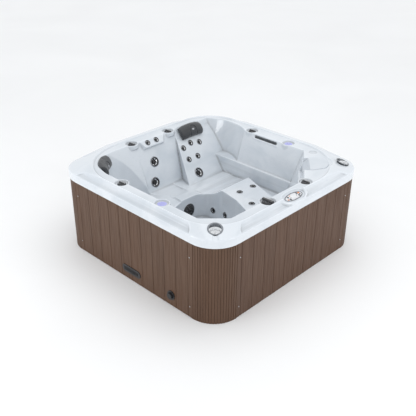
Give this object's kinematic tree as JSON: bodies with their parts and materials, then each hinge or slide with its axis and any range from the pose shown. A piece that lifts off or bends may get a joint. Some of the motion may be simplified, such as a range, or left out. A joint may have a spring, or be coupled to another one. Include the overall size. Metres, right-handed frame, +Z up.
{
  "type": "hot tub",
  "caption": "Square-plan outdoor hot tub with a moulded acrylic shell, lounger and seats, footwell, jets, pillows, control panel and wood-look cladding.",
  "frame": {"origin": "centre of the cabinet's square footprint, on the ground under the base pan", "axes": "+Z up, +X towards the side with the control panel, -Y towards the side with the vent grille and the drain"},
  "size_m": [2.16, 2.1823, 0.9155],
  "materials": {
    "acrylic": "gloss, silver-white marbled",
    "knob_silver": "satin grey with a bright top",
    "knob_dark": "satin",
    "valve_plastic": "matt",
    "lens": "clear, violet-blue tint",
    "cup_trim": "brushed",
    "jet_steel": "brushed, dark centre",
    "cover_dark": "satin",
    "lid_plastic": "satin",
    "filter_fabric": "pleated felt",
    "panel_plastic": "satin",
    "display_glass": "gloss, dark",
    "button_rubber": "matt",
    "pillow_foam": "soft, fine grain",
    "cladding": "fine wood grain",
    "screw_steel": "brushed",
    "base_plastic": "matt",
    "frame_wood": "sawn",
    "insulation": "foam board",
    "motor_paint": "satin",
    "wet_plastic": "satin",
    "heater_steel": "brushed",
    "case_plastic": "matt",
    "pipe_plastic": "satin"
  },
  "bodies": {
    "tub": {"acrylic_shell": "acrylic", "air_valve_bodies": "valve_plastic", "base_pan": "base_plastic", "circulation_pump": "wet_plastic", "control_box": "case_plastic", "corner_panel_back": "cladding", "corner_panel_left": "cladding", "corner_panel_near": "cladding", "corner_panel_right": "cladding", "cup_liners": "cup_trim", "diverter_body": "valve_plastic", "drain_valve": "cover_dark", "feed_pipe": "pipe_plastic", "filter_canister": "valve_plastic", "frame_posts": "frame_wood", "heater": "heater_steel", "insulation_boards": "insulation", "jet_bodies": "valve_plastic", "jet_pump_motor": "motor_paint", "jet_pump_wet_end": "wet_plastic", "light_housings": "valve_plastic", "light_lenses": "lens", "ozone_generator": "case_plastic", "panel_display": "display_glass", "panel_east": "cladding", "panel_housing": "panel_plastic", "panel_north": "cladding", "panel_screws": "screw_steel", "panel_south": "cladding", "panel_west": "cladding", "pillow_back": "pillow_foam", "pillow_left": "pillow_foam", "shell_supports": "frame_wood", "skimmer_pipe": "pipe_plastic", "small_jet_faces": "jet_steel", "suction_body": "valve_plastic", "suction_cover": "cover_dark", "suction_pipe": "pipe_plastic", "supply_gland": "cover_dark", "top_rails": "frame_wood", "vent_grille": "cover_dark", "water_manifold": "valve_plastic", "waterfall_spout": "cover_dark"},
    "air_knob_west_south": {"air_knob_west_south": "knob_silver"},
    "air_knob_west_north": {"air_knob_west_north": "knob_silver"},
    "air_knob_south": {"air_knob_south": "knob_silver"},
    "air_knob_north": {"air_knob_north": "knob_silver"},
    "air_knob_east": {"air_knob_east": "knob_dark"},
    "diverter_knob": {"diverter_knob": "knob_dark"},
    "backrest_jet_upper": {"backrest_jet_upper": "jet_steel"},
    "backrest_jet_lower": {"backrest_jet_lower": "jet_steel"},
    "lounger_jet": {"lounger_jet": "jet_steel"},
    "filter_lid": {"filter_lid": "lid_plastic"},
    "filter_cartridge": {"filter_cartridge": "filter_fabric"},
    "weir_flap": {"weir_flap": "lid_plastic"},
    "panel_button_1": {"panel_button_1": "button_rubber"},
    "panel_button_2": {"panel_button_2": "button_rubber"},
    "panel_button_3": {"panel_button_3": "button_rubber"},
    "panel_button_4": {"panel_button_4": "button_rubber"},
    "drain_cap": {"drain_cap": "cover_dark"}
  },
  "joints": [
    {"name": "air_knob_west_south_turn", "type": "hinge", "parent": "tub", "child": "air_knob_west_south", "pos_m": [-0.918, -0.261, 0.8733], "axis": [0, 0, 1], "range_deg": [0, 180]},
    {"name": "air_knob_west_north_turn", "type": "hinge", "parent": "tub", "child": "air_knob_west_north", "pos_m": [-0.918, 0.256, 0.8733], "axis": [0, 0, 1], "range_deg": [0, 180]},
    {"name": "air_knob_south_turn", "type": "hinge", "parent": "tub", "child": "air_knob_south", "pos_m": [-0.271, -0.918, 0.8733], "axis": [0, 0, 1], "range_deg": [0, 180]},
    {"name": "air_knob_north_turn", "type": "hinge", "parent": "tub", "child": "air_knob_north", "pos_m": [-0.262, 0.918, 0.8733], "axis": [0, 0, 1], "range_deg": [0, 180]},
    {"name": "air_knob_east_turn", "type": "hinge", "parent": "tub", "child": "air_knob_east", "pos_m": [0.918, 0.3, 0.8733], "axis": [0, 0, 1], "range_deg": [0, 180]},
    {"name": "diverter_knob_turn", "type": "hinge", "parent": "tub", "child": "diverter_knob", "pos_m": [0.918, -0.25, 0.8733], "axis": [0, 0, 1], "range_deg": [0, 180]},
    {"name": "backrest_jet_upper_turn", "type": "hinge", "parent": "tub", "child": "backrest_jet_upper", "pos_m": [-0.79372, -0.06, 0.655], "axis": [0.9229, 0, 0.385], "range_deg": [0, 90]},
    {"name": "backrest_jet_lower_turn", "type": "hinge", "parent": "tub", "child": "backrest_jet_lower", "pos_m": [-0.71321, -0.128, 0.462], "axis": [0.9229, 0, 0.385], "range_deg": [0, 90]},
    {"name": "lounger_jet_turn", "type": "hinge", "parent": "tub", "child": "lounger_jet", "pos_m": [-0.564, 0.386, 0.455], "axis": [0.7809, 0, 0.6247], "range_deg": [0, 90]},
    {"name": "filter_lid_lift", "type": "slide", "parent": "tub", "child": "filter_lid", "axis": [0, 0, 1], "range_m": [0, 0.12]},
    {"name": "filter_cartridge_turn", "type": "hinge", "parent": "tub", "child": "filter_cartridge", "pos_m": [0.741, 0.662, 0.5], "axis": [0, 0, 1], "range_deg": [0, 180]},
    {"name": "weir_flap_swing", "type": "hinge", "parent": "tub", "child": "weir_flap", "pos_m": [0.6659, 0.6038, 0.7563], "axis": [-0.6, 0.8, 0], "range_deg": [0, 75]},
    {"name": "panel_button_1_press", "type": "slide", "parent": "tub", "child": "panel_button_1", "axis": [-0.1908, 0, -0.9816], "range_m": [0, 0.0012], "stiffness_N_per_m": 400},
    {"name": "panel_button_2_press", "type": "slide", "parent": "tub", "child": "panel_button_2", "axis": [-0.1908, 0, -0.9816], "range_m": [0, 0.0012], "stiffness_N_per_m": 400},
    {"name": "panel_button_3_press", "type": "slide", "parent": "tub", "child": "panel_button_3", "axis": [-0.1908, 0, -0.9816], "range_m": [0, 0.0012], "stiffness_N_per_m": 400},
    {"name": "panel_button_4_press", "type": "slide", "parent": "tub", "child": "panel_button_4", "axis": [-0.1908, 0, -0.9816], "range_m": [0, 0.0012], "stiffness_N_per_m": 400},
    {"name": "drain_cap_turn", "type": "hinge", "parent": "tub", "child": "drain_cap", "pos_m": [0.54, -1.0903, 0.117], "axis": [0, -1, 0], "range_deg": [0, 90]}
  ]
}
